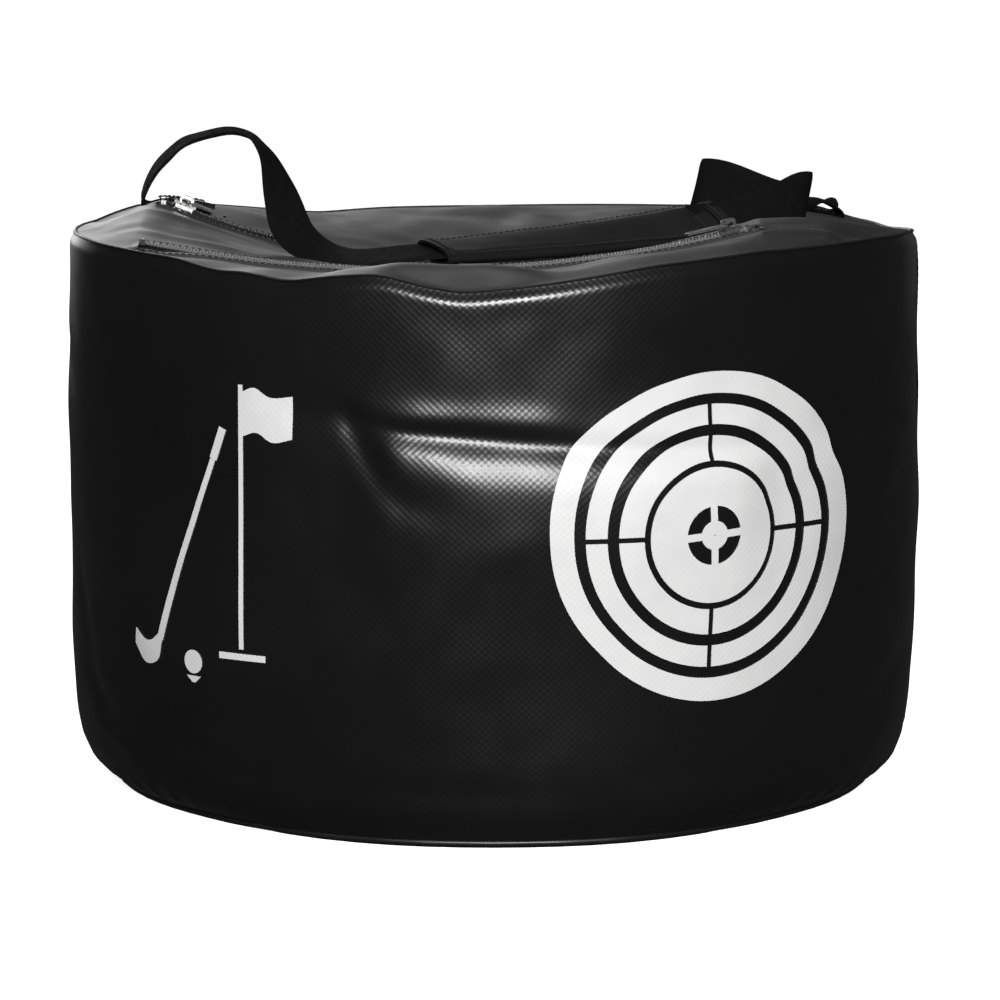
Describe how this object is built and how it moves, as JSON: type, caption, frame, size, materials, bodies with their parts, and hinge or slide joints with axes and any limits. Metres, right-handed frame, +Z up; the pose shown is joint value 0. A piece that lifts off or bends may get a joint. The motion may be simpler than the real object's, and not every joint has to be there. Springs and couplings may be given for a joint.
{
  "type": "golf impact bag",
  "caption": "Round stuffed drum of black coated cloth that a golf club is swung into, with a zipped top, a webbing carry strap with a wrapped grip, and printed aiming marks.",
  "frame": {"origin": "on the floor, under the middle of the drum", "axes": "+Z up, -Y towards the player's side with the printed marks, +X to the player's right; the carry strap runs along X"},
  "size_m": [0.402, 0.4016, 0.3039],
  "materials": {
    "wall_cloth": "glossy black PVC-coated cloth with a fine diamond emboss",
    "top_cloth": "satin black PVC-coated cloth, soft wrinkles",
    "welt": "black PVC piping over the seam",
    "zip_tape": "black woven zip tape",
    "zip_coil": "black nylon coil",
    "zip_metal": "plated zip slider metal",
    "webbing": "black ribbed polypropylene webbing",
    "thread": "black sewing thread",
    "grip_cloth": "satin black PVC-coated cloth folded round the webbing",
    "print_white": "white printed film, slightly satin",
    "stuffing": "folded towelling"
  },
  "bodies": {
    "bag": {"anchor_patch_left": "webbing", "anchor_patch_right": "webbing", "anchor_stitching_left": "thread", "anchor_stitching_right": "thread", "bottom_panel": "wall_cloth", "bottom_welt": "welt", "front_zip_coil_far": "zip_coil", "front_zip_coil_near": "zip_coil", "front_zip_end_stops": "zip_metal", "front_zip_tape_far": "zip_tape", "front_zip_tape_near": "zip_tape", "print_club": "print_white", "print_target": "print_white", "rear_zip_coil_far": "zip_coil", "rear_zip_coil_near": "zip_coil", "rear_zip_end_stops": "zip_metal", "rear_zip_tape_far": "zip_tape", "rear_zip_tape_near": "zip_tape", "side_seam_strip": "wall_cloth", "side_wall": "wall_cloth", "stuffing_pad_1": "stuffing", "stuffing_pad_2": "stuffing", "stuffing_pad_3": "stuffing", "stuffing_pad_4": "stuffing", "stuffing_pad_5": "stuffing", "top_panel_centre": "top_cloth", "top_panel_front": "top_cloth", "top_panel_rear": "top_cloth", "top_welt": "welt"},
    "rear_slider": {"rear_zip_slider": "zip_metal"},
    "rear_pull": {"rear_zip_pull_tab": "zip_metal"},
    "front_slider": {"front_zip_slider": "zip_metal"},
    "front_pull": {"front_zip_pull_tab": "zip_metal"},
    "handle": {"strap_left": "webbing", "strap_right": "webbing", "grip_sleeve": "grip_cloth", "grip_hem_left": "grip_cloth", "grip_hem_right": "grip_cloth", "grip_webbing_core": "webbing"}
  },
  "joints": [
    {"name": "handle_swing", "type": "hinge", "parent": "bag", "child": "handle", "pos_m": [0, 0.085, 0.2725], "axis": [-1, 0, 0], "range_deg": [0, 90]},
    {"name": "rear_zip_travel", "type": "hinge", "parent": "bag", "child": "rear_slider", "pos_m": [-0.012, 0.04, 0.6192], "axis": [0, -1, 0], "range_deg": [0, 39.7]},
    {"name": "rear_pull_flip", "type": "hinge", "parent": "rear_slider", "child": "rear_pull", "pos_m": [-0.14818, 0.04, 0.2698], "axis": [0, -1, 0], "range_deg": [0, 150]},
    {"name": "front_zip_travel", "type": "hinge", "parent": "bag", "child": "front_slider", "pos_m": [-0.035, -0.105, 0.8692], "axis": [0, -1, 0], "range_deg": [-24, 0]},
    {"name": "front_pull_flip", "type": "hinge", "parent": "front_slider", "child": "front_pull", "pos_m": [0.10685, -0.105, 0.27078], "axis": [0, 1, 0], "range_deg": [0, 150]}
  ]
}
